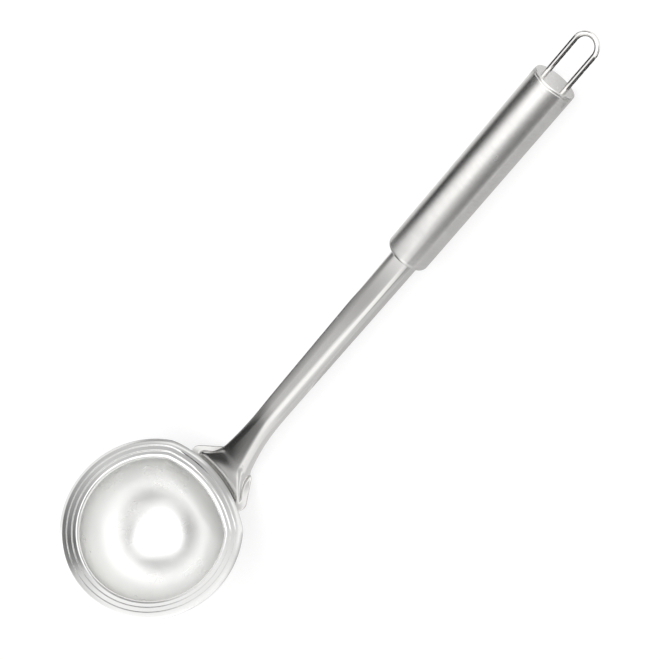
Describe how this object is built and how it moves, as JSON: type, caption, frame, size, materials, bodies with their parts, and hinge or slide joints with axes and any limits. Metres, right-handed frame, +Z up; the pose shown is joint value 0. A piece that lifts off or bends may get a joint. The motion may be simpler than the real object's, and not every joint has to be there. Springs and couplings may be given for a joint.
{
  "type": "soup ladle",
  "caption": "Soup ladle in stainless steel: a round bowl with a stepped pouring lip, a curved stem on a welded saddle, and a tubular handle with a wire hanging loop.",
  "frame": {"origin": "middle of the ladle's bounding box at table level, with the ladle lying on the round bottom of its bowl and on its handle", "axes": "+Z up from the table, +X along the handle towards the hanging loop, the XZ plane is the plane of symmetry"},
  "size_m": [0.346, 0.0868, 0.067],
  "materials": {
    "bowl_steel": "pressed stainless sheet, mirror polished",
    "stem_steel": "pressed stainless sheet, bright polished",
    "handle_steel": "stainless tube, satin, ground round its axis",
    "cap_steel": "turned stainless, satin",
    "wire_steel": "drawn stainless wire, bright",
    "weld_metal": "weld bead, brushed"
  },
  "bodies": {
    "root": {"bowl": "bowl_steel", "stem": "stem_steel", "handle_tube": "handle_steel", "end_cap": "cap_steel", "hanging_loop": "wire_steel", "mouth_weld": "weld_metal", "loop_welds": "weld_metal", "saddle_welds": "weld_metal"}
  },
  "joints": []
}
